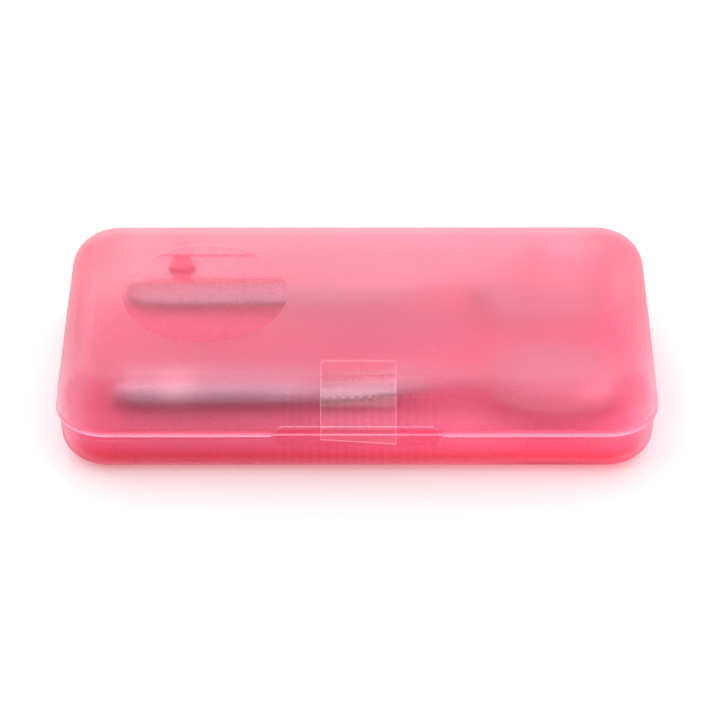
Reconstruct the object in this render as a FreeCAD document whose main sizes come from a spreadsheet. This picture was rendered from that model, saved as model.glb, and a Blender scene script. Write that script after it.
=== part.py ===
"""Travel case for a spoon and a fork.

A shallow base and a domed lid are hinged at the back with two pins, closed at the front by a thumb catch and
sealed with a strip of clear tape.

Frame: +X along the case's length, -Y is the front with the catch, +Z up. The origin is the centre of the
base's underside, where the case stands. Millimetres.
"""

import FreeCAD, Part
import math
import os
import re

import Sketcher

Vector = FreeCAD.Vector
Rotation = FreeCAD.Rotation

SIZES = {
    # the case as a whole, measured over the lid's rim bead
    "case_length": 168.0,
    "case_depth": 87.3,
    "corner_radius": 14.7,
    "case_height": 28.3,
    "parting_height": 13.9,
    "parting_gap": 0.1,
    # the lid
    "lid_wall": 1.2,
    "lid_draft": 0.6,
    "lid_shoulder": 9.25,
    "bead_proud": 0.4,
    "bead_height": 1.1,
    "bead_rounding": 0.35,
    # the polished round window in the lid's top
    "window_radius": 23.6,
    "window_centre_x": -43.3,
    "window_centre_y": 4.5,
    "window_step": 0.15,
    # the base
    "base_wall": 1.6,
    "base_inset": 0.8,
    "base_draft": 0.7,
    "base_rounding": 6.5,
    "lip_height": 0.9,
    "lip_thickness": 0.8,
    "lip_gap": 0.25,
    "lip_rounding": 0.25,
    "lip_root": 3.0,
    # the thumb catch: a notch in the lid's front, a recess in the base's front, and grip ribs above and below
    "notch_width": 48.0,
    "notch_slope": 3.0,
    "notch_height": 3.4,
    "notch_face": 42.75,
    "recess_depth": 0.4,
    "recess_height": 3.4,
    "rib_pitch": 2.45,
    "rib_width": 1.2,
    "rib_proud": 0.2,
    "rib_top": 25.6,
    "comb_depth": 52.4,
    "base_rib_proud": 0.15,
    "base_rib_foot": 2.5,
    # the two hinges
    "hinge_spacing": 105.0,
    "hinge_axis_y": 46.05,
    "hinge_axis_z": 6.2,
    "knuckle_radius": 2.6,
    "tongue_width": 4.6,
    "tongue_root": 0.72,
    "tongue_top": 4.2,
    "tongue_cover": 0.4,
    "tongue_hump_y": 2.1,
    "tongue_hump_z": 2.3,
    "ear_width": 1.4,
    "ear_gap": 0.2,
    "ear_foot": 2.6,
    "ear_waist_y": 0.9,
    "ear_waist_z": 2.4,
    "pin_radius": 0.9,
    "pin_clearance": 0.05,
    "heel_reach": 2.4,
    "heel_angle": 60.0,
    "heel_radius": 1.0,
    # the strip of clear tape
    "tape_width": 20.9,
    "tape_centre_x": 0.45,
    "tape_thickness": 0.12,
    "tape_back": 27.4,
    "tape_step": 0.2,
    "tape_bend": 9.48,
    "tape_bend_y": 33.79,
    "tape_bend_z": 19.05,
    "tape_lean": 0.3,
    "tape_foot": 11.5,
    "tape_skew": 1.6,
    # the spoon, which lies on the base's floor, and the fork, which leans on the back wall
    "floor_gap": 0.2,
    "neck_lift": 4.2,
    "spoon_width": 12.4,
    "spoon_thickness": 4.6,
    "spoon_start": -70.0,
    "spoon_axis_y": -9.8,
    "bowl_length": 42.0,
    "bowl_width": 31.5,
    "bowl_depth": 6.4,
    "bowl_gauge": 1.3,
    "fork_start": -69.0,
    "fork_width": 9.2,
    "fork_thickness": 3.0,
    "fork_axis_y": 33.45,
    "fork_axis_z": 6.7,
    "fork_turn": -2.9,
    "fork_pitch": -2.0,
    "fork_lean": 27.5,
    "head_root": 3.6,
    "head_drop": 1.8,
    "head_length": 44.0,
    "head_width": 19.0,
    "tine_width": 3.1,
    "tine_length": 30.0,
    "tine_gauge": 1.7,
    # how far a cutting block runs past the surface that it cuts, and how far out it stands in front
    "tool_overlap": 1.0,
    "tool_reach": 5.0,
}

RIB_COUNT = 18
HINGE_SIDES = {"left": -1, "right": 1}

# The handle's cross sections from its rounded end to the neck and into the head: how far along, what share of
# the handle's half width and half thickness there, and what share of the neck's lift.
HANDLE_STATIONS = (
    (0.0, 0.22, 0.30, 0.0),
    (0.8, 0.55, 0.62, 0.0),
    (3.0, 0.84, 0.90, 0.0),
    (8.0, 1.00, 1.00, 0.02),
    (30.0, 1.00, 0.98, 0.06),
    (55.0, 0.98, 0.94, 0.14),
    (70.0, 0.94, 0.90, 0.28),
    (81.0, 0.80, 0.84, 0.56),
    (91.0, 0.58, 0.72, 0.86),
    (102.0, 0.47, 0.62, 1.00),
    (110.0, 0.62, 0.42, 0.80),
)

# The fork's head in plan behind its root: how far along it, and what share of its half width there.
HEAD_PLAN = ((0.16, 0.58), (0.34, 1.0), (1.0, 1.0))

# Where the bowl and the fork's head begin along the handle, how far above its rim the bowl's ellipsoid is
# centred as a share of its depth, and the radius of the hoop that the fork's head is bent to.
BOWL_START = 106.0
HEAD_START = 100.0
BOWL_LIFT = 0.6
HOOP_RADIUS = 52.0

document = FreeCAD.newDocument("travel_case")
sheet = document.addObject("Spreadsheet::Sheet", "Sizes")
for row, (alias, value) in enumerate(SIZES.items(), start=1):
    sheet.set(f"A{row}", str(value))
    sheet.setAlias(f"A{row}", alias)
document.recompute()


def s(text):
    """An expression over the sheet: each word that is a cell's alias gets the sheet's name in front."""
    return re.sub(r"[a-z_]+", lambda word: f"Sizes.{word[0]}" if word[0] in SIZES else word[0], text)


def number(text):
    """The value of an expression over the sheet."""
    value = sheet.evalExpression(s(text))
    return float(getattr(value, "Value", value))


def plane_of(body, role):
    return next(feature for feature in body.Origin.OriginFeatures if feature.Role == role)


def bind(thing, **expressions):
    """Ties an object's properties to the sheet."""
    for name, text in expressions.items():
        thing.setExpression(name, s(text))
    return thing


def place(thing, x="0", y="0", z="0"):
    """Ties an object's position to the sheet."""
    for axis, text in zip("xyz", (x, y, z)):
        thing.setExpression(f".Placement.Base.{axis}", s(text))
    return thing


def new_sketch(body, name, role, offset="0"):
    sketch = body.newObject("Sketcher::SketchObject", name)
    sketch.AttachmentSupport = [(plane_of(body, role), "")]
    sketch.MapMode = "FlatFace"
    sketch.setExpression(".AttachmentOffset.Base.z", s(offset))
    return sketch


def name_size(sketch, constraint, name, text):
    """Adds a dimension to a sketch and ties it to the sheet."""
    index = sketch.addConstraint(constraint)
    sketch.renameConstraint(index, name)
    sketch.setExpression(f"Constraints.{name}", s(text))


def rounded_rectangle(body, name, offset, length, depth, radius):
    """A rectangle about the origin in the XY plane, with its four corners rounded."""
    sketch = new_sketch(body, name, "XY_Plane", offset)
    half_x = number(length) / 2
    half_y = number(depth) / 2
    r = number(radius)
    flat_x = half_x - r
    flat_y = half_y - r
    ends = (
        (Vector(-flat_x, -half_y), Vector(flat_x, -half_y)),
        (Vector(half_x, -flat_y), Vector(half_x, flat_y)),
        (Vector(flat_x, half_y), Vector(-flat_x, half_y)),
        (Vector(-half_x, flat_y), Vector(-half_x, -flat_y)),
    )
    corners = ((flat_x, -flat_y), (flat_x, flat_y), (-flat_x, flat_y), (-flat_x, -flat_y))
    for turn, (side, corner) in enumerate(zip(ends, corners)):
        start = math.radians(90 * (turn - 1))
        sketch.addGeometry(Part.LineSegment(*side))
        circle = Part.Circle(Vector(*corner), Vector(0, 0, 1), r)
        sketch.addGeometry(Part.ArcOfCircle(circle, start, start + math.pi / 2))
    for side in range(0, 8, 2):
        sketch.addConstraint(Sketcher.Constraint("Tangent", side, 2, side + 1, 1))
        sketch.addConstraint(Sketcher.Constraint("Tangent", side + 1, 2, (side + 2) % 8, 1))
    sketch.addConstraint(Sketcher.Constraint("Horizontal", 4))
    sketch.addConstraint(Sketcher.Constraint("Vertical", 6))
    for arc in (3, 5, 7):
        sketch.addConstraint(Sketcher.Constraint("Equal", 1, arc))
    sketch.addConstraint(Sketcher.Constraint("Symmetric", 0, 1, 0, 2, -2))
    sketch.addConstraint(Sketcher.Constraint("Symmetric", 2, 1, 2, 2, -1))
    name_size(sketch, Sketcher.Constraint("Radius", 1, r), "radius", radius)
    name_size(sketch, Sketcher.Constraint("DistanceX", 6, 1, 2, 2, 2 * half_x), "length", length)
    name_size(sketch, Sketcher.Constraint("DistanceY", 0, 1, 4, 2, 2 * half_y), "depth", depth)
    return sketch


def dish(name, at, height, inset, draft, rounding, downwards=False, both_ends=False):
    """A drafted block with the case's outline drawn in by inset at the height at, and its far edges rounded.

    It grows up from there, or down, and its walls lean in by draft over its height. The base, the lid, their
    hollows and the lid's bead are all made of such blocks.
    """
    body = document.addObject("PartDesign::Body", name)
    outline = rounded_rectangle(
        body,
        f"{name}_outline",
        at,
        f"case_length - 2 * ( {inset} )",
        f"case_depth - 2 * ( {inset} )",
        f"corner_radius - ( {inset} )",
    )
    document.recompute()
    pad = body.newObject("PartDesign::Pad", f"{name}_pad")
    pad.Profile = outline
    pad.Reversed = downwards
    bind(pad, Length=height, TaperAngle=f"-atan( ( {draft} ) / ( {height} ) )")
    document.recompute()
    faces = pad.Shape.Faces
    ends = sorted(range(len(faces)), key=lambda index: faces[index].CenterOfMass.z)
    chosen = (ends[0], ends[-1]) if both_ends else (ends[0] if downwards else ends[-1],)
    fillet = body.newObject("PartDesign::Fillet", f"{name}_rounding")
    fillet.Base = (pad, [f"Face{index + 1}" for index in chosen])
    bind(fillet, Radius=rounding)
    return body


def prism(name, role, points, start, length):
    """A polygon drawn in one of the origin's planes and padded along that plane's normal."""
    body = document.addObject("PartDesign::Body", name)
    sketch = new_sketch(body, f"{name}_outline", role, start)
    corners = [Vector(number(x), number(y)) for x, y in points]
    count = len(corners)
    for index, corner in enumerate(corners):
        sketch.addGeometry(Part.LineSegment(corner, corners[(index + 1) % count]))
    for index in range(count):
        sketch.addConstraint(Sketcher.Constraint("Coincident", index, 2, (index + 1) % count, 1))
    for index, (x, y) in enumerate(points):
        across = Sketcher.Constraint("DistanceX", -1, 1, index, 1, corners[index].x)
        up = Sketcher.Constraint("DistanceY", -1, 1, index, 1, corners[index].y)
        name_size(sketch, across, f"across_{index}", x)
        name_size(sketch, up, f"up_{index}", y)
    document.recompute()
    pad = body.newObject("PartDesign::Pad", f"{name}_pad")
    pad.Profile = sketch
    bind(pad, Length=length)
    document.recompute()
    return body


def box(name, x, y, z, length, width, height):
    """A box given by its lowest corner and its three sizes."""
    thing = document.addObject("Part::Box", name)
    bind(thing, Length=length, Width=width, Height=height)
    return place(thing, x, y, z)


def cross_cylinder(name, x, y, z, radius, length):
    """A cylinder along +X that starts at the given point."""
    thing = document.addObject("Part::Cylinder", name)
    thing.Placement = FreeCAD.Placement(Vector(), Rotation(Vector(0, 0, 1), Vector(1, 0, 0)))
    bind(thing, Radius=radius, Height=length)
    return place(thing, x, y, z)


def fuse(name, things):
    joined = document.addObject("Part::MultiFuse", name)
    joined.Shapes = things
    return joined


def cut(name, base, tools):
    """Base less all the tools."""
    tool = tools[0] if len(tools) == 1 else fuse(f"{name}_tools", tools)
    less = document.addObject("Part::Cut", name)
    less.Base = base
    less.Tool = tool
    return less


def common(name, first, second):
    shared = document.addObject("Part::Common", name)
    shared.Base = first
    shared.Tool = second
    return shared


def rib_comb(name, foot, top):
    """A row of upright bars in front of the case, centred on X = 0: what the grip ribs are cut from."""
    bars = []
    for index in range(RIB_COUNT):
        steps = index - (RIB_COUNT - 1) / 2
        left = f"{steps} * rib_pitch - rib_width / 2"
        height = f"{top} - ( {foot} )"
        bars.append(box(f"{name}_{index}", left, "-case_depth", foot, "rib_width", "comb_depth", height))
    comb = document.addObject("Part::Compound", name)
    comb.Links = bars
    return comb


def hinge_left_end(side):
    """Where the hinge on this side starts along X: the outer face of its first ear."""
    return f"{side} * hinge_spacing / 2 - tongue_width / 2 - ear_gap - ear_width"


def hinge_pin_hole(name, side, radius):
    length = "tongue_width + 2 * ear_gap + 2 * ear_width"
    return cross_cylinder(name, hinge_left_end(side), "hinge_axis_y", "hinge_axis_z", radius, length)


def make_lid():
    bottom = "parting_height + parting_gap"
    height = "case_height - parting_height - parting_gap"
    outside = dish("lid_outside", bottom, height, "bead_proud", "lid_draft", "lid_shoulder")
    inset = "bead_proud + lid_wall"
    inner_rounding = "lid_shoulder - lid_wall"
    hollow = dish("lid_hollow", bottom, f"{height} - lid_wall", inset, "lid_draft", inner_rounding)
    bead = dish("lid_bead", bottom, "bead_height", "0", "0", "bead_rounding", both_ends=True)

    proud = dish(
        "lid_rib_envelope",
        bottom,
        f"{height} + rib_proud",
        "bead_proud - rib_proud",
        "lid_draft",
        "lid_shoulder + rib_proud",
    )
    notch_top = "parting_height + notch_height"
    ribs = common("lid_ribs", proud, rib_comb("lid_comb", notch_top, "rib_top"))

    tongues = []
    bores = []
    for word, side in HINGE_SIDES.items():
        left = f"{side} * hinge_spacing / 2 - tongue_width / 2"
        wall_y = "case_depth / 2 - bead_proud"
        outline = (
            (f"{wall_y} - tongue_root", "parting_height + tongue_top"),
            (f"{wall_y} - tongue_root", bottom),
            ("hinge_axis_y - knuckle_radius", bottom),
            ("hinge_axis_y - knuckle_radius", "hinge_axis_z"),
            ("hinge_axis_y + knuckle_radius", "hinge_axis_z"),
            ("hinge_axis_y + tongue_hump_y", "hinge_axis_z + tongue_hump_z"),
            (f"{wall_y} + tongue_cover", "parting_height + tongue_top"),
        )
        tongues.append(prism(f"tongue_arm_{word}", "YZ_Plane", outline, left, "tongue_width"))
        knuckle = ("hinge_axis_y", "hinge_axis_z", "knuckle_radius", "tongue_width")
        tongues.append(cross_cylinder(f"tongue_knuckle_{word}", left, *knuckle))
        heel_y = "hinge_axis_y + heel_reach * cos( heel_angle * 1 deg )"
        heel_z = "hinge_axis_z - heel_reach * sin( heel_angle * 1 deg )"
        heel = cross_cylinder(f"tongue_heel_{word}", left, heel_y, heel_z, "heel_radius", "tongue_width")
        tongues.append(heel)
        bores.append(hinge_pin_hole(f"tongue_bore_{word}", side, "pin_radius + pin_clearance"))

    half = "notch_width / 2"
    notch_outline = (
        (f"-{half}", "parting_height - tool_overlap"),
        (half, "parting_height - tool_overlap"),
        (half, bottom),
        (f"{half} - notch_slope", notch_top),
        (f"-{half} + notch_slope", notch_top),
        (f"-{half}", bottom),
    )
    notch = prism("lid_notch", "XZ_Plane", notch_outline, "notch_face", "tool_reach")
    window = document.addObject("Part::Cylinder", "window_step_tool")
    bind(window, Radius="window_radius", Height="window_step + tool_overlap")
    place(window, "window_centre_x", "window_centre_y", "case_height - window_step")

    body = fuse("lid_body", [outside, bead, ribs] + tongues)
    return cut("lid_shell", body, [hollow, notch, window] + bores)


def make_base():
    top = "parting_height"
    walls = ("base_inset", "base_draft", "base_rounding")
    outside = dish("base_outside", top, "parting_height", *walls, downwards=True)
    hollow_depth = "parting_height - base_wall"
    wall_inset = "base_inset + base_wall"
    inner_rounding = "base_rounding - base_wall"
    hollow = dish("base_hollow", top, hollow_depth, wall_inset, "base_draft", inner_rounding, downwards=True)

    lip_inset = "bead_proud + lid_wall + lip_gap"
    lip_bottom = "parting_height - lip_root"
    lip_rise = "lip_root + lip_height"
    lip_outer = dish("lip_outer", lip_bottom, lip_rise, lip_inset, "0", "lip_rounding")
    lip_inside = f"{lip_inset} + lip_thickness"
    inner_bottom = f"{lip_bottom} - tool_overlap"
    inner_rise = f"{lip_rise} + 2 * tool_overlap"
    lip_inner = dish("lip_inner", inner_bottom, inner_rise, lip_inside, "0", "lip_rounding")
    lip = cut("base_lip", lip_outer, [lip_inner])

    proud = dish(
        "base_rib_envelope",
        top,
        "parting_height",
        "base_inset - base_rib_proud",
        "base_draft",
        "base_rounding",
        downwards=True,
    )
    recess_foot = "parting_height - recess_height"
    ribs = common("base_ribs", proud, rib_comb("base_comb", "base_rib_foot", recess_foot))

    half = "notch_width / 2"
    recess_outline = (
        (f"-{half} + notch_slope", recess_foot),
        (f"{half} - notch_slope", recess_foot),
        (half, top),
        (half, "parting_height + tool_overlap"),
        (f"-{half}", "parting_height + tool_overlap"),
        (f"-{half}", top),
    )
    recess_face = "case_depth / 2 - base_inset - recess_depth"
    recess = prism("base_recess", "XZ_Plane", recess_outline, recess_face, "tool_reach")

    inside_wall = "case_depth / 2 - base_inset - base_draft - base_wall / 3"
    ears = []
    bores = []
    for word, side in HINGE_SIDES.items():
        bores.append(hinge_pin_hole(f"ear_bore_{word}", side, "pin_radius"))
        first = hinge_left_end(side)
        second = f"{first} + ear_width + tongue_width + 2 * ear_gap"
        for place_word, left in (("outer", first), ("inner", second)):
            outline = (
                (inside_wall, "hinge_axis_z + knuckle_radius"),
                (inside_wall, "hinge_axis_z - ear_foot"),
                ("hinge_axis_y - ear_waist_y", "hinge_axis_z - ear_waist_z"),
                ("hinge_axis_y", "hinge_axis_z"),
                ("hinge_axis_y", "hinge_axis_z + knuckle_radius"),
            )
            ears.append(prism(f"ear_web_{place_word}_{word}", "YZ_Plane", outline, left, "ear_width"))
            knuckle = ("hinge_axis_y", "hinge_axis_z", "knuckle_radius", "ear_width")
            ears.append(cross_cylinder(f"ear_knuckle_{place_word}_{word}", left, *knuckle))

    shell = cut("base_tray", fuse("base_body", [outside, ribs]), [hollow, recess])
    return cut("base_shell", fuse("base_with_ears", [shell, lip] + ears), bores)


def make_pin(word, side):
    return hinge_pin_hole(f"hinge_pin_{word}", side, "pin_radius")


def make_tape():
    """A thin strip stuck on the lid's top that bends over the shoulder and hangs in front of the base."""
    left = "tape_centre_x - tape_width / 2"
    outer_bend = "( tape_bend + tape_thickness )"
    bend_line = (left, "-tape_bend_y", "tape_bend_z")
    around = cross_cylinder("tape_bend_outside", *bend_line, outer_bend, "tape_width")
    within = cross_cylinder("tape_bend_inside", *bend_line, "tape_bend", "tape_width")
    corner = (f"-tape_bend_y - {outer_bend}", "tape_bend_z")
    quadrant = box("tape_quadrant", left, *corner, "tape_width", outer_bend, outer_bend)
    bend = common("tape_over_shoulder", cut("tape_ring", around, [within]), quadrant)

    flat_outline = (
        ("-tape_bend_y", "tape_bend_z + tape_bend"),
        ("-tape_bend_y", f"tape_bend_z + {outer_bend}"),
        ("-tape_back", f"tape_bend_z + {outer_bend} - tape_step"),
        ("-tape_back", "tape_bend_z + tape_bend - tape_step"),
    )
    flat = prism("tape_on_top", "YZ_Plane", flat_outline, left, "tape_width")
    tail_outline = (
        ("-tape_bend_y - tape_bend", "tape_bend_z"),
        ("-tape_bend_y - tape_bend - tape_lean", "tape_foot"),
        (f"-tape_bend_y - {outer_bend} - tape_lean", "tape_foot"),
        (f"-tape_bend_y - {outer_bend}", "tape_bend_z"),
    )
    tail = prism("tape_tail", "YZ_Plane", tail_outline, left, "tape_width")
    skew_outline = (
        ("-tape_width", "tape_foot - tool_overlap"),
        ("tape_width", "tape_foot - tool_overlap"),
        ("tape_centre_x + tape_width / 2", "tape_foot"),
        (left, "tape_foot + tape_skew"),
        ("-tape_width", "tape_foot + tape_skew"),
    )
    skew = prism("tape_skew_cut", "XZ_Plane", skew_outline, "tape_bend_y", "case_depth / 2")
    return cut("seal_tape", fuse("tape_strip", [flat, bend, tail]), [skew])


def handle(name, start, width, thickness, rest):
    """A loft through upright ellipses from the handle's end to its neck. Rest is its centre line's height."""
    sections = []
    for index, (along, width_share, thickness_share, rise_share) in enumerate(HANDLE_STATIONS):
        section = document.addObject("Part::Ellipse", f"{name}_section_{index}")
        section.Placement = FreeCAD.Placement(Vector(), Rotation(Vector(1, 1, 1), 120))
        half_width = f"{width} / 2 * {width_share}"
        half_thickness = f"{thickness} / 2 * {thickness_share}"
        bind(section, MajorRadius=half_width, MinorRadius=half_thickness)
        place(section, f"{start} + {along}", "0", f"{rest} + {rise_share} * neck_lift")
        sections.append(section)
    loft = document.addObject("Part::Loft", name)
    loft.Sections = sections
    loft.Solid = True
    return loft


def ellipsoid(name, x, z, radius_x, radius_y, radius_z):
    thing = document.addObject("Part::Ellipsoid", name)
    bind(thing, Radius1=radius_z, Radius2=radius_x, Radius3=radius_y)
    return place(thing, x, "0", z)


def make_spoon():
    """The handle and a bowl: an ellipsoid's lower cap, hollowed by a smaller one about the same centre."""
    rim_z = "base_wall + floor_gap + bowl_depth"
    centre_x = f"spoon_start + {BOWL_START} + bowl_length / 2"
    centre_z = f"{rim_z} + {BOWL_LIFT} * bowl_depth"
    widening = 1 / math.sqrt(1 - (BOWL_LIFT / (1 + BOWL_LIFT)) ** 2)
    radii = (f"bowl_length / 2 * {widening}", f"bowl_width / 2 * {widening}", f"{1 + BOWL_LIFT} * bowl_depth")
    outside = ellipsoid("bowl_outside", centre_x, centre_z, *radii)
    inside = ellipsoid("bowl_inside", centre_x, centre_z, *[f"{radius} - bowl_gauge" for radius in radii])
    above = box("bowl_above", "0", "-case_depth / 2", rim_z, "case_length", "case_depth", "case_height")
    bowl = cut("bowl_cap", outside, [above])
    rest = "base_wall + floor_gap + spoon_thickness / 2"
    grip = handle("spoon_handle", "spoon_start", "spoon_width", "spoon_thickness", rest)
    spoon = cut("spoon", fuse("spoon_body", [bowl, grip]), [inside])
    place(spoon, "0", "spoon_axis_y", "0")
    return spoon


def make_fork():
    """The handle and a head: the plan of four tines, cut from a plate curved like a big hoop about Y.

    It is made about its handle's centre line, and then leans back, tips and turns to where it rests.
    """
    root = f"fork_start + {HEAD_START}"
    half = "head_width / 2"
    near = [(f"{root} + {along} * head_length", f"-{half} * {share}") for along, share in HEAD_PLAN]
    far = [(x, y.lstrip("-")) for x, y in reversed(near)]
    plan_outline = [(root, "-head_root / 2"), *near, *far, (root, "head_root / 2")]
    plan = prism("head_plan", "XY_Plane", plan_outline, "-case_height / 2", "case_height")
    hoop_z = f"tine_gauge + {HOOP_RADIUS} - head_drop"
    hoops = []
    for word, radius in (("inside", f"{HOOP_RADIUS}"), ("outside", f"{HOOP_RADIUS} + tine_gauge")):
        hoop = document.addObject("Part::Cylinder", f"hoop_{word}")
        hoop.Placement = FreeCAD.Placement(Vector(), Rotation(Vector(1, 0, 0), 90))
        bind(hoop, Radius=radius, Height="head_width + 2 * tool_overlap")
        place(hoop, f"{root} + head_length / 2", f"{half} + tool_overlap", hoop_z)
        hoops.append(hoop)
    plate = common("head_plate", cut("head_hoop", hoops[1], [hoops[0]]), plan)
    gap = "( head_width - 4 * tine_width ) / 3"
    slots = []
    for index in range(3):
        low_y = f"-{half} + tine_width + {index} * ( tine_width + {gap} )"
        low_x = f"{root} + head_length - tine_length"
        slot = (low_x, low_y, "-case_height / 2", "tine_length + tool_overlap", gap, "case_height")
        slots.append(box(f"tine_slot_{index}", *slot))
    head = cut("fork_head", plate, slots)
    fork = fuse("fork", [head, handle("fork_handle", "fork_start", "fork_width", "fork_thickness", "0")])
    turned = Rotation(Vector(0, 0, 1), number("fork_turn"))
    tipped = turned.multiply(Rotation(Vector(0, 1, 0), number("fork_pitch")))
    leaning = tipped.multiply(Rotation(Vector(1, 0, 0), number("fork_lean")))
    fork.Placement = FreeCAD.Placement(Vector(), leaning)
    place(fork, "0", "fork_axis_y", "fork_axis_z")
    return fork


def check(thing):
    """Stops with a message if an object failed or came out empty."""
    bad = {"Invalid", "Error"} & set(thing.State)
    if bad:
        raise RuntimeError(f"{thing.Name} is {', '.join(bad)}")


def write_parts(nodes):
    os.makedirs("parts", exist_ok=True)
    document.recompute()
    for thing in document.Objects:
        check(thing)
    for thing in nodes:
        shape = thing.Shape
        if shape.isNull() or not shape.isValid():
            raise RuntimeError(f"{thing.Name} has no valid shape")
        thing.Label = thing.Name
        shape.exportStep(f"parts/{thing.Label}.step")
        size = shape.BoundBox
        spans = f"{size.XLength:.2f} x {size.YLength:.2f} x {size.ZLength:.2f}"
        print(f"{thing.Label}: {len(shape.Solids)} solid, {shape.Volume:.0f} mm3, {spans} mm")


pins = [make_pin(word, side) for word, side in HINGE_SIDES.items()]
write_parts([make_base(), make_lid(), make_tape(), make_spoon(), make_fork(), *pins])
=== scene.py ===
import math

import bpy
from mathutils import Matrix, Vector

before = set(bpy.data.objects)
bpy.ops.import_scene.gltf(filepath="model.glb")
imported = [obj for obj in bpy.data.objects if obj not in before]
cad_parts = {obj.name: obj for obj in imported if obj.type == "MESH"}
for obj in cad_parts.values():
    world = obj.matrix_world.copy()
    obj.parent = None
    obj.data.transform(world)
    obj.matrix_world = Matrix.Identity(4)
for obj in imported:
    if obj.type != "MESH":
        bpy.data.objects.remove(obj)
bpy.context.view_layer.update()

WHITE = (1.0, 1.0, 1.0)

# ---------------------------------------------------------------- camera

CAMERA_PLACE = (0.00501, -0.73476, 0.56958)
CAMERA_PITCH = math.radians(37.415)
CAMERA_YAW = math.radians(-0.336)
CAMERA_ROLL = math.radians(-0.222)
CAMERA_LENS = 160.85
SENSOR_WIDTH = 36.0
CLIP_NEAR, CLIP_FAR = 0.01, 50.0


def make_camera():
    forward = Vector((
        math.sin(CAMERA_YAW) * math.cos(CAMERA_PITCH),
        math.cos(CAMERA_YAW) * math.cos(CAMERA_PITCH),
        -math.sin(CAMERA_PITCH),
    ))
    right = forward.cross(Vector((0.0, 0.0, 1.0))).normalized()
    up = right.cross(forward)
    turned_right = right * math.cos(CAMERA_ROLL) + up * math.sin(CAMERA_ROLL)
    turned_up = up * math.cos(CAMERA_ROLL) - right * math.sin(CAMERA_ROLL)
    data = bpy.data.cameras.new("camera")
    data.lens = CAMERA_LENS
    data.sensor_width = SENSOR_WIDTH
    data.clip_start, data.clip_end = CLIP_NEAR, CLIP_FAR
    camera = bpy.data.objects.new("camera", data)
    bpy.context.scene.collection.objects.link(camera)
    axes = Matrix((turned_right, turned_up, -forward)).transposed()
    camera.matrix_world = Matrix.Translation(CAMERA_PLACE) @ axes.to_4x4()
    bpy.context.scene.camera = camera


# ---------------------------------------------------------------- shader graphs

class Graph:
    """One material, and short calls that add shader nodes to it."""

    def __init__(self, name):
        self.material = bpy.data.materials.new(name)
        self.material.use_nodes = True
        self.tree = self.material.node_tree
        self.tree.nodes.clear()

    def node(self, kind, values=None, links=None, **settings):
        """Add a node with these settings, with constants and links in its inputs."""
        made = self.tree.nodes.new(kind)
        for key, value in settings.items():
            setattr(made, key, value)
        for key, value in (values or {}).items():
            made.inputs[key].default_value = value
        for key, source in (links or {}).items():
            self.tree.links.new(source, made.inputs[key])
        return made

    def operation(self, kind, name, operands):
        """Add an arithmetic node. Numbers and tuples are constants, anything else is linked."""
        made = self.node(kind, operation=name)
        for index, operand in enumerate(operands):
            if isinstance(operand, (int, float, tuple)):
                made.inputs[index].default_value = operand
            else:
                self.tree.links.new(operand, made.inputs[index])
        return made.outputs

    def math(self, name, *operands):
        return self.operation("ShaderNodeMath", name, operands)[0]

    def vector(self, name, *operands):
        outputs = self.operation("ShaderNodeVectorMath", name, operands)
        return outputs["Value" if name in ("LENGTH", "DOT_PRODUCT") else "Vector"]

    def product(self, first, *others):
        """All the values multiplied together."""
        for other in others:
            first = self.math("MULTIPLY", first, other)
        return first

    def place(self):
        """Where the shaded point is on its piece. It is the same at every pose."""
        return self.node("ShaderNodeTexCoord").outputs["Object"]

    def normal(self):
        """Which way the surface faces, in the piece's own axes."""
        return self.node("ShaderNodeTexCoord").outputs["Normal"]

    def split(self, vector):
        """The X, the Y and the Z of a vector."""
        outputs = self.node("ShaderNodeSeparateXYZ", links={0: vector}).outputs
        return outputs["X"], outputs["Y"], outputs["Z"]

    def fade(self, value, start, end, smooth=False):
        """Go from one level to another. Each end is a pair: where it is, and the level there."""
        made = self.node(
            "ShaderNodeMapRange",
            {"From Min": start[0], "From Max": end[0], "To Min": start[1], "To Max": end[1]},
            {"Value": value},
            interpolation_type="SMOOTHSTEP" if smooth else "LINEAR",
        )
        return made.outputs["Result"]

    def aside(self, value, middle=0.0):
        """How far the value is from the middle."""
        return self.math("ABSOLUTE", self.math("SUBTRACT", value, middle))

    def within(self, value, reach, middle=0.0):
        """1 where the value is nearer to the middle than the reach, else 0."""
        return self.math("LESS_THAN", self.aside(value, middle), reach)

    def between(self, value, painted_low_shade, high):
        """1 where the value lies between the two limits, else 0."""
        above = self.math("GREATER_THAN", value, painted_low_shade)
        return self.product(above, self.math("LESS_THAN", value, high))

    def noise(self, scale, detail, rough, stretch=None):
        place = self.place()
        if stretch:
            mapping = self.node("ShaderNodeMapping", {"Scale": stretch}, {"Vector": place})
            place = mapping.outputs["Vector"]
        values = {"Scale": scale, "Detail": detail, "Roughness": rough}
        return self.node("ShaderNodeTexNoise", values, {"Vector": place}).outputs["Fac"]

    def ramp(self, value, *stops):
        """Colours along the value. Each stop is a pair: where it is, and the colour there."""
        made = self.node("ShaderNodeValToRGB", links={"Fac": value})
        set_stops(made.color_ramp, stops)
        return made.outputs["Color"]

    def tinted(self, colour, value, tint):
        """The colour where the value is 0, and the colour times the tint where it is 1."""
        return self.vector("MULTIPLY", colour, self.ramp(value, (0.0, WHITE), (1.0, tint)))

    def mix(self, share, first, second):
        """The first colour where the share is 0, and the second where it is 1."""
        links = {0: share, 6: first, 7: second}
        return self.node("ShaderNodeMix", links=links, data_type="RGBA").outputs[2]

    def bump(self, height, strength, distance):
        values = {"Strength": strength, "Distance": distance}
        return self.node("ShaderNodeBump", values, {"Height": height}).outputs["Normal"]

    def finish(self, values, links):
        shader = self.node("ShaderNodeBsdfPrincipled", values, links)
        self.node("ShaderNodeOutputMaterial", links={"Surface": shader.outputs[0]})
        return self.material


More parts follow.
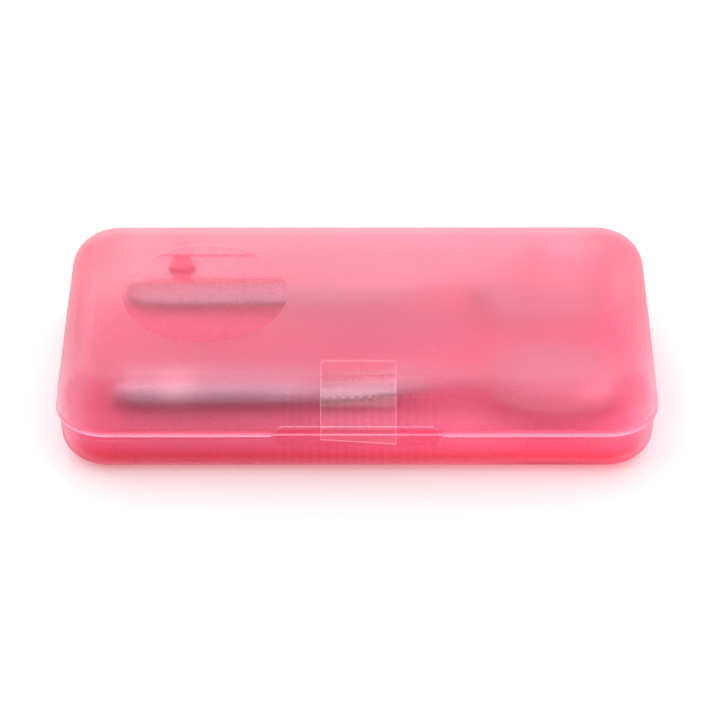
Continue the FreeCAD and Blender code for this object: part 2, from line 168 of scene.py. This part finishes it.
def set_stops(band, stops):
    while len(band.elements) < len(stops):
        band.elements.new(0.5)
    for element, (at, colour) in zip(band.elements, stops):
        element.position = at
        element.color = (*colour, 1.0)


def span(node, axis):
    """The least and the greatest coordinate of a CAD node along one axis."""
    along = [vertex.co[axis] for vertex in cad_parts[node].data.vertices]
    return min(along), max(along)



# ---------------------------------------------------------------- frosted plastic
#
# Places are in metres, in the closed case's frame: X along the case, Y towards its back, Z up.
# A noise is its scale, detail and roughness. A fade is two pairs: each is a place, or a value of
# a noise, and the level or colour there.

# Roughness of the frosting, in the polished window, and where tape fills the grain.
FROST = 0.4
FROST_GRAIN = ((0.3, FROST - 0.05), (0.7, FROST + 0.05))
FROST_EXTRA_RIGHT = ((0.0, 0.0), (0.04, 0.05))
CLEAR = 0.16
WETTED = 0.22
PLASTIC_IOR = 1.2
GRAIN = (1800.0, 2.0, 0.6)
CLOUD = (38.0, 3.0, 0.55)
GRAIN_SHADE = ((0.35, 0.86), (0.65, 1.14))
GRAIN_STRENGTH, GRAIN_HEIGHT = 0.25, 0.00004

WINDOW_CENTRE = (-0.0433, 0.0045, 0.0)
WINDOW_RADIUS = 0.0236
WINDOW_BORDER = 0.0002
TAPE_LEFT, TAPE_RIGHT = span("seal_tape", 0)
TAPE_BACK = span("seal_tape", 1)[1]
TAPE_MIDDLE = (TAPE_LEFT + TAPE_RIGHT) / 2.0
TAPE_HALF_WIDTH = (TAPE_RIGHT - TAPE_LEFT) / 2.0

# Grip ribs: their relief is painted on as paler and darker upright stripes, a painted shade.
RIB_PITCH = 0.00245
RIB_REACH = 0.0221
RIB_FRONT = -0.033
RIB_PAINTED_SHADE = ((-1.0, 0.94), (1.0, 1.06))
LID_RIBS = (0.0173, 0.0256)
BASE_RIBS = (0.0025, 0.0105)

LID_TINTS = ((0.35, (0.98, 0.59, 0.68)), (0.65, (0.98, 0.62, 0.71)))
# Painted shade on the lid: deeper pink towards the back and at its ends, and less red in the middle.
LID_PAINTED_SHADE_BACK = ((0.0, 1.1), (0.043, 0.89))
LID_PAINTED_SHADE_SHOULDER = ((0.034, 1.0), (0.044, 0.87))
LID_PAINTED_SHADE_ENDS = ((0.064, 0.0), (0.083, 1.0))
LID_PAINTED_SHADE_ENDS_DEPTH = ((-0.03, 0.0), (0.0, -0.3))
PAINTED_DULL_MIDDLE = (0.013, -0.013)
PAINTED_DULL_ALONG = ((0.012, 0.14), (0.04, 0.0))
PAINTED_DULL_ACROSS = ((0.006, 1.0), (0.019, 0.0))

BASE_TINTS = ((0.35, (0.97, 0.55, 0.65)), (0.65, (0.97, 0.58, 0.68)))
# Painted shade on the base: deeper pink near the bottom at the front, in the thumb recess, and at
# the back.
BASE_LOW = ((0.013, 0.0), (0.003, 1.1))
BASE_LOW_FRONT = ((-0.03, 0.0), (-0.041, 1.0))
BASE_PAINTED_SHADE_RED, BASE_PAINTED_SHADE_REST = 0.08, 0.5
BASE_PAINTED_SHADE_BACK = ((0.03, 1.0), (0.04, 0.8))
RECESS_REACH = 0.0225
RECESS_FRONT = -0.04
RECESS_BOTTOM = 0.0105
RECESS_PAINTED_SHADE = 0.35

# Painted light: the plastic glows though it is no lamp, and this is where there is more of that
# glow.
GLOW_COLOUR = (1.0, 0.07, 0.2)
PAINTED_GLOW_ALONG = ((-0.03, 0.024), (0.07, 0.074))
CORNER_PAINTED_GLOW_SIDE = ((0.066, 0.0), (0.08, 0.03))
CORNER_PAINTED_GLOW_FRONT = ((-0.01, 0.0), (-0.03, 1.0))
HINGE_PAINTED_GLOW = 0.1
LID_HINGE_FROM = 0.0437
BASE_HINGE_FROM = 0.0429
# Painted highlight on the rim bead, in a colour that the painted glow at the hinges shares.
PAINTED_RIM_AND_HINGE_GLOW_COLOUR = (1.0, 0.42, 0.54)
RIM_PAINTED_HIGHLIGHT = 0.15
RIM_LOW, RIM_HIGH, RIM_NOTCH_HIGH = 0.0139, 0.0152, 0.0144
NOTCH_REACH = 0.0238
RIM_BACK = ((0.0, 1.0), (0.035, 0.3))
RIM_SIDE = ((0.074, 1.0), (0.083, 0.3))
# Painted light on the base's floor, in front of the spoon and under the fork's handle, lightening
# their shadows.
POOL_PAINTED_LIGHT = 0.055
POOL_PAINTED_LIGHT_COLOUR = (1.0, 0.3, 0.4)
POOL_FULL = 0.4
POOL_HEIGHTS = (0.0012, 0.005)
SPOON_POOL_ALONG = ((-0.045, 0.0), (0.035, 1.0))
SPOON_POOL_BACK = ((-0.013, 0.0), (-0.02, 1.0))
SPOON_POOL_FRONT = ((-0.0405, 0.0), (-0.0385, 1.0))
FORK_POOL_ALONG = ((0.0, 1.4), (0.03, 0.0))
FORK_POOL_FRONT = ((0.018, 0.0), (0.024, 1.0))
FORK_POOL_BACK = ((0.034, 1.0), (0.038, 0.0))


def plastic_shade(g, grain, x, y, z, ribs):
    """How pale the grain is, and the grip ribs at the front, painted as paler upright stripes of
    light and shade.
    """
    wave = g.math("SINE", g.product(x, 2.0 * math.pi / RIB_PITCH))
    in_front = g.math("LESS_THAN", y, RIB_FRONT)
    ribbed = g.product(in_front, g.within(x, RIB_REACH), g.between(z, *ribs))
    painted_rib_bars = g.fade(g.product(wave, ribbed), *RIB_PAINTED_SHADE)
    return g.product(painted_rib_bars, g.fade(grain, *GRAIN_SHADE))


def plastic_colour(g, tints, red, rest):
    """A cloudy tint. Its red is scaled by one number, and its green and blue by the other."""
    scale = g.node("ShaderNodeCombineXYZ", links={0: red, 1: rest, 2: rest}).outputs[0]
    return g.vector("MULTIPLY", g.ramp(g.noise(*CLOUD), *tints), scale)


def plastic_glow(g, shade, x, y, hinge_from):
    """The plastic's painted glow, and 1 where it is part of a hinge, else 0."""
    corner = g.product(g.fade(g.aside(x), *CORNER_PAINTED_GLOW_SIDE), g.fade(y, *CORNER_PAINTED_GLOW_FRONT))
    glow = g.math("MULTIPLY_ADD", shade, g.fade(x, *PAINTED_GLOW_ALONG), corner)
    hinge = g.math("GREATER_THAN", y, hinge_from)
    return g.math("MULTIPLY_ADD", hinge, HINGE_PAINTED_GLOW, glow), hinge


def plastic_finish(g, colour, roughness, bump_height, glow, glow_colour):
    links = {
        "Base Color": colour,
        "Roughness": roughness,
        "Normal": g.bump(bump_height, GRAIN_STRENGTH, GRAIN_HEIGHT),
        "Emission Strength": glow,
        "Emission Color": glow_colour,
    }
    return g.finish({"IOR": PLASTIC_IOR, "Transmission Weight": 1.0}, links)


def lid_plastic(name):
    g = Graph(name)
    place = g.place()
    x, y, z = g.split(place)
    grain = g.noise(*GRAIN)
    shade = plastic_shade(g, grain, x, y, z, LID_RIBS)

    # Painted shade: deeper pink towards the back, most at its ends, and a little duller in the
    # middle.
    painted_end_shade = g.product(g.fade(g.aside(x), *LID_PAINTED_SHADE_ENDS), g.fade(y, *LID_PAINTED_SHADE_ENDS_DEPTH))
    painted_depth_shade = g.product(g.fade(y, *LID_PAINTED_SHADE_BACK), g.fade(y, *LID_PAINTED_SHADE_SHOULDER))
    rest = g.product(shade, painted_depth_shade, g.math("ADD", painted_end_shade, 1.0))
    painted_dull_along = g.fade(g.aside(x, PAINTED_DULL_MIDDLE[0]), *PAINTED_DULL_ALONG)
    painted_dull = g.product(painted_dull_along, g.fade(g.aside(y, PAINTED_DULL_MIDDLE[1]), *PAINTED_DULL_ACROSS))
    red = g.product(shade, g.math("SUBTRACT", 1.0, painted_dull))
    colour = plastic_colour(g, LID_TINTS, red, rest)

    # Painted highlight: the bead along the rim glows as if it catches light. Only its lowest edge is
    # left behind the catch notch, and only that glows there.
    in_notch = g.product(g.within(x, NOTCH_REACH), g.math("LESS_THAN", y, 0.0))
    rim_top = g.fade(in_notch, (0.0, RIM_HIGH), (1.0, RIM_NOTCH_HIGH))
    rim = g.between(z, RIM_LOW, rim_top)
    rim = g.product(rim, g.fade(y, *RIM_BACK), g.fade(g.aside(x), *RIM_SIDE))
    glow, hinge = plastic_glow(g, shade, x, y, LID_HINGE_FROM)
    glow = g.math("MULTIPLY_ADD", rim, RIM_PAINTED_HIGHLIGHT, glow)
    glow_colour = g.ramp(g.math("MAXIMUM", rim, hinge), (0.0, GLOW_COLOUR), (1.0, PAINTED_RIM_AND_HINGE_GLOW_COLOUR))

    # Coarser on the right, polished in the round window, and finer where the tape fills the grain.
    extra = g.fade(x, *FROST_EXTRA_RIGHT, smooth=True)
    roughness = g.math("ADD", g.fade(grain, *FROST_GRAIN), extra)
    from_window = g.vector("MULTIPLY", g.vector("SUBTRACT", place, WINDOW_CENTRE), (1.0, 1.0, 0.0))
    reach = g.vector("LENGTH", from_window)
    frosted = g.fade(reach, (WINDOW_RADIUS - WINDOW_BORDER, 0.0), (WINDOW_RADIUS, 1.0))
    roughness = g.math("MINIMUM", roughness, g.math("ADD", frosted, CLEAR))
    taped = g.product(g.within(x, TAPE_HALF_WIDTH, TAPE_MIDDLE), g.math("LESS_THAN", y, TAPE_BACK))
    roughness = g.math("MULTIPLY_ADD", taped, WETTED - FROST, roughness)
    return plastic_finish(g, colour, roughness, g.product(grain, frosted), glow, glow_colour)


def base_plastic(name):
    g = Graph(name)
    x, y, z = g.split(g.place())
    grain = g.noise(*GRAIN)
    shade = plastic_shade(g, grain, x, y, z, BASE_RIBS)

    # Painted shade: deeper pink near the bottom at the front, in the thumb recess, and at the back.
    painted_low_shade = g.product(g.fade(z, *BASE_LOW), g.fade(y, *BASE_LOW_FRONT, smooth=True))
    recess = g.product(g.within(x, RECESS_REACH), g.math("LESS_THAN", y, RECESS_FRONT))
    recess = g.product(recess, g.math("GREATER_THAN", z, RECESS_BOTTOM))
    painted_low_shade = g.math("MULTIPLY_ADD", recess, RECESS_PAINTED_SHADE, painted_low_shade)
    red = g.product(shade, g.math("MULTIPLY_ADD", painted_low_shade, -BASE_PAINTED_SHADE_RED, 1.0))
    rest = g.product(shade, g.math("MULTIPLY_ADD", painted_low_shade, -BASE_PAINTED_SHADE_REST, 1.0))
    rest = g.product(rest, g.fade(y, *BASE_PAINTED_SHADE_BACK))
    colour = plastic_colour(g, BASE_TINTS, red, rest)

    # Painted light: the floor glows brighter in front of the spoon, most beside its bowl, and under
    # the fork's handle, where their shadows fall.
    by_spoon = g.product(g.fade(y, *SPOON_POOL_BACK), g.fade(y, *SPOON_POOL_FRONT))
    by_spoon = g.product(by_spoon, g.fade(x, *SPOON_POOL_ALONG))
    by_fork = g.product(g.fade(y, *FORK_POOL_FRONT), g.fade(y, *FORK_POOL_BACK))
    by_fork = g.product(by_fork, g.fade(x, *FORK_POOL_ALONG))
    pool = g.product(g.between(z, *POOL_HEIGHTS), g.math("ADD", by_spoon, by_fork))
    glow, hinge = plastic_glow(g, shade, x, y, BASE_HINGE_FROM)
    glow = g.math("MULTIPLY_ADD", pool, POOL_PAINTED_LIGHT, glow)
    pool_colour = g.ramp(pool, (0.0, GLOW_COLOUR), (POOL_FULL, POOL_PAINTED_LIGHT_COLOUR))
    hinge_colour = g.ramp(hinge, (0.0, GLOW_COLOUR), (1.0, PAINTED_RIM_AND_HINGE_GLOW_COLOUR))
    glow_colour = g.mix(hinge, pool_colour, hinge_colour)
    return plastic_finish(g, colour, g.fade(grain, *FROST_GRAIN), grain, glow, glow_colour)


# ---------------------------------------------------------------- steel

LINES = (900.0, 3.0, 0.6)
LINE_STRETCH = (0.05, 1.0, 1.0)
LINE_STRENGTH, LINE_HEIGHT = 0.05, 0.00002
SMUDGE = (60.0, 4.0, 0.6)
LOW_NOISE, HIGH_NOISE = 0.3, 0.7
# Painted reflection: the steel's shade follows which way it faces, from the front shade to the back
# shade.
FACING = ((-0.42, 0.0), (0.04, 1.0))
FACING_WANDER = 0.03
HEAD_LENGTH = 0.01
HEAD_SATIN = 0.22
HEAD_CLOUD = 1.06

# Painted light on the spoon: its dark front shade, a painted reflection, gives way along the handle,
# the neck is painted duller, one patch is a painted highlight, and the head is tinted pink by
# painted reflection.
SPOON_STEEL = {
    "front": (0.29, 0.29, 0.30),
    "back": (0.57, 0.67, 0.67),
    "head": (0.56, 0.35, 0.39),
    "head_from": 0.014,
    "roughness": (0.08, 0.2),
    "turn": ((-0.03, 0.0), (0.0, 0.48)),
}
NECK_ALONG = ((-0.022, 0.0), (-0.01, 1.0))
NECK_PAINTED_SHADE = (0.86, 0.64, 0.65)
GLINT_MIDDLE = -0.052
GLINT_FADE = ((0.0, 1.0), (0.009, 0.0))
GLINT_PAINTED_HIGHLIGHT = (1.4, 1.45, 1.36)

# The fork leans on the back wall. Painted reflections: its head is tinted pink, and the upper border
# across its handle is rosy.
FORK_STEEL = {
    "front": (0.60, 0.52, 0.54),
    "back": (0.62, 0.55, 0.56),
    "head": (0.61, 0.48, 0.53),
    "head_from": 0.014,
    "roughness": (0.2, 0.35),
}
FORK_ACROSS = (0.02878, 0.88668, 0.46146)
BORDER_ACROSS = ((0.0358, 0.0), (0.0363, 1.0))
BORDER_PAINTED_REFLECTION = (1.05, 0.68, 0.74)

# The right hinge pin is finished like a head, and the left one like a handle. Both are a little
# darker where they face the front, a painted shade.
PIN_STEEL = {
    "front": (0.60, 0.60, 0.61),
    "back": (0.66, 0.66, 0.67),
    "head": (0.66, 0.66, 0.67),
    "head_from": 0.0,
    "roughness": (0.25, 0.4),
}


def spoon_painted_light(g, place, shade):
    along = g.split(place)[0]
    shade = g.tinted(shade, g.fade(along, *NECK_ALONG), NECK_PAINTED_SHADE)
    near_glint = g.fade(g.aside(along, GLINT_MIDDLE), *GLINT_FADE, smooth=True)
    return g.tinted(shade, near_glint, GLINT_PAINTED_HIGHLIGHT)


def fork_painted_reflection(g, place, shade):
    across = g.vector("DOT_PRODUCT", place, FORK_ACROSS)
    return g.tinted(shade, g.fade(across, *BORDER_ACROSS), BORDER_PAINTED_REFLECTION)


def steel(name, front, back, head, head_from, roughness, turn=None, detail=None):
    """Polished steel with painted reflections: one shade where it faces the front, one for the back,
    one for the head.
    """
    g = Graph(name)
    place = g.place()
    along = g.split(place)[0]
    facing = g.split(g.normal())[1]
    lines = g.noise(*LINES, stretch=LINE_STRETCH)
    smudge = g.noise(*SMUDGE)
    wander = g.fade(smudge, (LOW_NOISE, -FACING_WANDER), (HIGH_NOISE, FACING_WANDER))
    facing = g.math("ADD", facing, wander)
    if turn:
        facing = g.math("ADD", facing, g.fade(along, *turn))
    facing = g.fade(facing, *FACING, smooth=True)
    shade = g.ramp(facing, (0.0, front), (1.0, back))
    if detail:
        shade = detail(g, place, shade)

    lighter = [HEAD_CLOUD * part for part in head]
    clouded = g.ramp(smudge, (LOW_NOISE, head), (HIGH_NOISE, lighter))
    on_head = g.fade(along, (head_from, 0.0), (head_from + HEAD_LENGTH, 1.0), smooth=True)
    brushed = g.fade(lines, (LOW_NOISE, roughness[0]), (HIGH_NOISE, roughness[1]))
    links = {
        "Base Color": g.mix(on_head, shade, clouded),
        "Roughness": g.math("MULTIPLY_ADD", on_head, HEAD_SATIN, brushed),
        "Normal": g.bump(lines, LINE_STRENGTH, LINE_HEIGHT),
    }
    return g.finish({"Metallic": 1.0}, links)


# ---------------------------------------------------------------- tape and floor

TAPE_IOR = 1.1
TAPE_TINTS = ((0.3, (0.97, 0.97, 0.96)), (0.7, WHITE))
TAPE_ROUGHNESS = ((0.3, 0.02), (0.7, 0.06))
TAPE_SMEARS = (700.0, 2.0, 0.5)
RIPPLE = (160.0, 2.0, 0.5)
RIPPLE_STRENGTH, RIPPLE_HEIGHT = 0.1, 0.0001
# Painted light: the tape glows faintly pink, and its cut edges glow brighter as a painted highlight.
TAPE_EDGE = 0.0002
TAPE_EDGE_PAINTED_HIGHLIGHT = 0.19
TAPE_GLOW = 0.025
TAPE_GLOW_COLOUR = (1.0, 0.55, 0.68)
TAPE_SKEW = 0.0766
TAPE_END = 0.01262
# Painted sheen where the strip bends over the lid's front shoulder.
SHEEN_LOW = ((0.0225, 0.0), (0.0242, 1.0))
SHEEN_HIGH = ((0.0268, 1.0), (0.0282, 0.0))
SHEEN_PAINTED_GLOW = 0.055
SHEEN_COLOUR = (1.0, 0.95, 1.0)


def clear_film(name):
    g = Graph(name)
    x, y, z = g.split(g.place())
    # Painted highlight: the cut edges glow as if they catch light. The strip's lower end is cut
    # askew.
    sides = g.math("GREATER_THAN", g.aside(x, TAPE_MIDDLE), TAPE_HALF_WIDTH - TAPE_EDGE)
    back = g.math("GREATER_THAN", y, TAPE_BACK - TAPE_EDGE)
    end = g.math("LESS_THAN", g.math("MULTIPLY_ADD", x, TAPE_SKEW, z), TAPE_END)
    edge = g.math("MAXIMUM", g.math("MAXIMUM", sides, back), end)
    # Painted sheen: where the strip bends over the lid's front shoulder it glows a soft white.
    sheen = g.product(g.fade(z, *SHEEN_LOW, smooth=True), g.fade(z, *SHEEN_HIGH, smooth=True))
    pinkness = g.math("MAXIMUM", edge, g.math("SUBTRACT", 1.0, sheen))
    glow = g.fade(edge, (0.0, TAPE_GLOW), (1.0, TAPE_EDGE_PAINTED_HIGHLIGHT))
    ripple = g.noise(*RIPPLE)
    links = {
        "Base Color": g.ramp(ripple, *TAPE_TINTS),
        "Roughness": g.fade(g.noise(*TAPE_SMEARS), *TAPE_ROUGHNESS),
        "Normal": g.bump(ripple, RIPPLE_STRENGTH, RIPPLE_HEIGHT),
        "Emission Strength": g.math("MAXIMUM", glow, g.product(sheen, SHEEN_PAINTED_GLOW)),
        "Emission Color": g.ramp(pinkness, (0.0, SHEEN_COLOUR), (1.0, TAPE_GLOW_COLOUR)),
    }
    return g.finish({"IOR": TAPE_IOR, "Transmission Weight": 1.0}, links)


FLOOR_GLOW = 0.03
FLOOR_ROUGHNESS = 0.9
FLOOR_SPECKS = (30.0, 2.0, 0.5)
FLOOR_SHADES = ((0.3, (0.92, 0.92, 0.92)), (0.7, (0.94, 0.94, 0.94)))


def paper_white(name):
    g = Graph(name)
    values = {
        "Roughness": FLOOR_ROUGHNESS,
        "Emission Strength": FLOOR_GLOW,
        "Emission Color": (*WHITE, 1.0),
    }
    return g.finish(values, {"Base Color": g.ramp(g.noise(*FLOOR_SPECKS), *FLOOR_SHADES)})


# ---------------------------------------------------------------- stage

FLOOR_REACH = 3.0
FLOOR_DROP = 0.0002
SKY_CENTRE = (0.1, 0.5, 0.86)
SKY_STOPS = ((0.36, (0.08, 0.08, 0.08)), (0.5, WHITE), (0.72, (1.3, 1.3, 1.3)))
BACKDROP_LEVEL = 1.1


def make_floor():
    signs = ((-1, -1), (1, -1), (1, 1), (-1, 1))
    corners = [(x * FLOOR_REACH, y * FLOOR_REACH, -FLOOR_DROP) for x, y in signs]
    mesh = bpy.data.meshes.new("floor")
    mesh.from_pydata(corners, [], [(0, 1, 2, 3)])
    mesh.materials.append(paper_white("floor_white"))
    floor = bpy.data.objects.new("floor", mesh)
    bpy.context.scene.collection.objects.link(floor)


def make_sky():
    """Bright above and behind, dim in front, and white where it is the backdrop."""
    world = bpy.data.worlds.new("studio")
    bpy.context.scene.world = world
    world.use_nodes = True
    nodes, link = world.node_tree.nodes, world.node_tree.links.new
    nodes.clear()

    # How near each direction is to the sky's brightest place, from 0 to 1.
    direction = nodes.new("ShaderNodeTexCoord").outputs["Generated"]
    facing = nodes.new("ShaderNodeVectorMath")
    facing.operation = "DOT_PRODUCT"
    facing.inputs[1].default_value = SKY_CENTRE
    link(direction, facing.inputs[0])
    shift = nodes.new("ShaderNodeMapRange")
    shift.inputs["From Min"].default_value = -1.0
    shift.inputs["From Max"].default_value = 1.0
    link(facing.outputs["Value"], shift.inputs["Value"])

    ramp = nodes.new("ShaderNodeValToRGB")
    ramp.color_ramp.interpolation = "EASE"
    set_stops(ramp.color_ramp, SKY_STOPS)
    link(shift.outputs["Result"], ramp.inputs["Fac"])
    light = nodes.new("ShaderNodeBackground")
    link(ramp.outputs["Color"], light.inputs["Color"])
    backdrop = nodes.new("ShaderNodeBackground")
    backdrop.inputs["Color"].default_value = (*WHITE, 1.0)
    backdrop.inputs["Strength"].default_value = BACKDROP_LEVEL

    mix = nodes.new("ShaderNodeMixShader")
    link(nodes.new("ShaderNodeLightPath").outputs["Is Camera Ray"], mix.inputs["Fac"])
    link(light.outputs[0], mix.inputs[1])
    link(backdrop.outputs[0], mix.inputs[2])
    link(mix.outputs[0], nodes.new("ShaderNodeOutputWorld").inputs["Surface"])


def softbox(name, place, target, size, watts):
    data = bpy.data.lights.new(name, "AREA")
    data.shape = "RECTANGLE"
    data.size, data.size_y = size
    data.energy = watts
    lamp = bpy.data.objects.new(name, data)
    bpy.context.scene.collection.objects.link(lamp)
    aim = (Vector(target) - Vector(place)).to_track_quat("-Z", "Y")
    lamp.matrix_world = Matrix.Translation(place) @ aim.to_matrix().to_4x4()


# ---------------------------------------------------------------- the scene

bpy.context.scene.view_settings.view_transform = "Standard"
make_camera()
make_floor()
make_sky()
softbox(
    "rear_lamp",
    place=(-0.395, 1.335, 0.805),
    target=(-0.06, -0.01, 0.005),
    size=(0.3, 0.3),
    watts=2.4,
)
softbox(
    "overhead_softbox",
    place=(0.0, 0.25, 1.0),
    target=(0.0, 0.0, 0.0),
    size=(1.2, 0.8),
    watts=0.3,
)

pin_steel = steel("drawn_pin_wire", **PIN_STEEL)
materials = {
    "lid_shell": lid_plastic("lid_frosted_pink"),
    "base_shell": base_plastic("base_frosted_pink"),
    "seal_tape": clear_film("clear_tape_film"),
    "spoon": steel("spoon_steel", **SPOON_STEEL, detail=spoon_painted_light),
    "fork": steel("fork_steel", **FORK_STEEL, detail=fork_painted_reflection),
    "hinge_pin_left": pin_steel,
    "hinge_pin_right": pin_steel,
}
for node, material in materials.items():
    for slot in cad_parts[node].material_slots:
        slot.material = material

bpy.context.view_layer.update()
